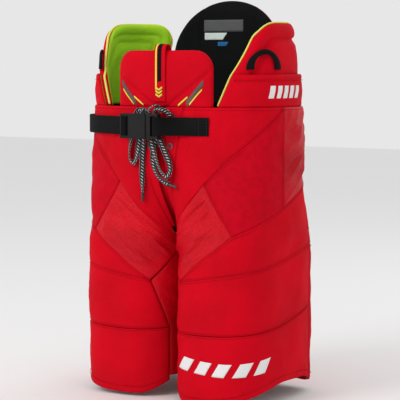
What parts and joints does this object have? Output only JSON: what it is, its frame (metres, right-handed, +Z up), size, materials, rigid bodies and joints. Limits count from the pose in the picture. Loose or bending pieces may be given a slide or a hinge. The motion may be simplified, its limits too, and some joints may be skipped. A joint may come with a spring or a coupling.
{
  "type": "ice hockey pants",
  "caption": "Junior ice hockey pants standing on their hems: padded panelled shell, laced fly, buckled waist belt, folding belly pad, hip wings and spine guard.",
  "frame": {"origin": "on the floor, below the middle of the whole object's bounding box", "axes": "+X to the wearer's left, -Y to the front, +Z up"},
  "size_m": [0.3032, 0.2179, 0.5494],
  "materials": {
    "red_fabric": "matte woven nylon",
    "stretch_fabric": "shiny ribbed knit",
    "lime_fabric": "soft brushed lining",
    "black_fabric": "black brushed lining",
    "striped_tape": "woven tape with plain stripes",
    "webbing": "black ribbed webbing",
    "guard_plastic": "moulded polyethylene",
    "foam": "closed-cell foam",
    "eyelet_metal": "dark rolled metal",
    "buckle_plastic": "black acetal, fine grain",
    "lace_cord": "flat woven lace, black flecked with white",
    "lace_tip_plastic": "hard lace tip"
  },
  "bodies": {
    "shell": {"front_panel_left": "red_fabric", "front_panel_right": "red_fabric", "hip_panel_left": "red_fabric", "hip_panel_right": "red_fabric", "seat_panel_left": "red_fabric", "seat_panel_right": "red_fabric", "upper_thigh_panel_left": "red_fabric", "upper_thigh_panel_right": "red_fabric", "thigh_panel_left": "red_fabric", "thigh_panel_right": "red_fabric", "hem_band_left": "red_fabric", "hem_band_right": "red_fabric", "back_thigh_panel_left": "red_fabric", "back_thigh_panel_right": "red_fabric", "belt_band_left": "red_fabric", "belt_band_right": "red_fabric", "fly_placket_left": "red_fabric", "fly_placket_right": "red_fabric", "fly_gusset": "red_fabric", "side_stretch_panel_left": "stretch_fabric", "side_stretch_panel_right": "stretch_fabric", "groin_gusset_left": "stretch_fabric", "groin_gusset_right": "stretch_fabric", "seat_stretch_panel_left": "stretch_fabric", "seat_stretch_panel_right": "stretch_fabric", "crotch_gusset": "stretch_fabric", "inner_leg_panel_left": "stretch_fabric", "inner_leg_panel_right": "stretch_fabric", "waist_liner": "lime_fabric", "short_strap": "webbing", "hip_cap_plate_left": "guard_plastic", "hip_cap_plate_right": "guard_plastic", "tailbone_plate": "guard_plastic", "thigh_plate_left": "guard_plastic", "thigh_plate_right": "guard_plastic", "hip_foam_pad_left": "foam", "hip_foam_pad_right": "foam", "tailbone_pad": "foam", "thigh_foam_left": "foam", "thigh_foam_right": "foam", "eyelet_1_left": "eyelet_metal", "eyelet_1_right": "eyelet_metal", "eyelet_2_left": "eyelet_metal", "eyelet_2_right": "eyelet_metal", "buckle_plug": "buckle_plastic", "lace_left": "lace_cord", "lace_right": "lace_cord", "lace_tip_left": "lace_tip_plastic", "lace_tip_right": "lace_tip_plastic"},
    "belly_pad": {"belly_pad": "red_fabric", "pull_tape": "striped_tape"},
    "left_wing": {"hip_wing_left": "red_fabric"},
    "right_wing": {"hip_wing_right": "red_fabric"},
    "left_loop": {"brace_loop_left": "webbing"},
    "right_loop": {"brace_loop_right": "webbing"},
    "spine_guard": {"spine_guard": "black_fabric"},
    "buckle_socket": {"buckle_socket": "buckle_plastic", "long_strap": "webbing"},
    "prong_upper": {"buckle_prong_upper": "buckle_plastic"},
    "prong_lower": {"buckle_prong_lower": "buckle_plastic"}
  },
  "joints": [
    {"name": "belly_pad_fold", "type": "hinge", "parent": "shell", "child": "belly_pad", "pos_m": [0.00165, -0.086, 0.4022], "axis": [1, 0, 0], "range_deg": [0, 55]},
    {"name": "left_wing_fold", "type": "hinge", "parent": "shell", "child": "left_wing", "pos_m": [0.14505, 0.011, 0.4462], "axis": [0, 1, 0], "range_deg": [0, 25]},
    {"name": "right_wing_fold", "type": "hinge", "parent": "shell", "child": "right_wing", "pos_m": [-0.14175, 0.011, 0.4462], "axis": [0, -1, 0], "range_deg": [0, 25]},
    {"name": "spine_guard_fold", "type": "hinge", "parent": "shell", "child": "spine_guard", "pos_m": [0.00165, 0.0964, 0.4462], "axis": [-1, 0, 0], "range_deg": [0, 25]},
    {"name": "left_loop_tip", "type": "hinge", "parent": "left_wing", "child": "left_loop", "pos_m": [0.13518, -0.03328, 0.4504], "axis": [0.4896, 0.8719, 0], "range_deg": [0, 50]},
    {"name": "right_loop_tip", "type": "hinge", "parent": "right_wing", "child": "right_loop", "pos_m": [-0.13188, -0.03328, 0.4504], "axis": [0.4896, -0.8719, 0], "range_deg": [0, 50]},
    {"name": "buckle_release", "type": "slide", "parent": "shell", "child": "buckle_socket", "axis": [-1, 0, 0], "range_m": [0, 0.024]},
    {"name": "prong_squeeze", "type": "hinge", "parent": "shell", "child": "prong_upper", "pos_m": [-0.00935, -0.102, 0.386], "axis": [0, -1, 0], "range_deg": [0, 6], "stiffness_Nm_per_rad": 0.12},
    {"name": "prong_lower_squeeze", "type": "hinge", "parent": "shell", "child": "prong_lower", "pos_m": [-0.00935, -0.102, 0.366], "axis": [0, 1, 0], "range_deg": [0, 6], "stiffness_Nm_per_rad": 0.12}
  ],
  "couplings": [
    {"joint": "prong_lower_squeeze", "follows": "prong_squeeze", "ratio": 1}
  ]
}
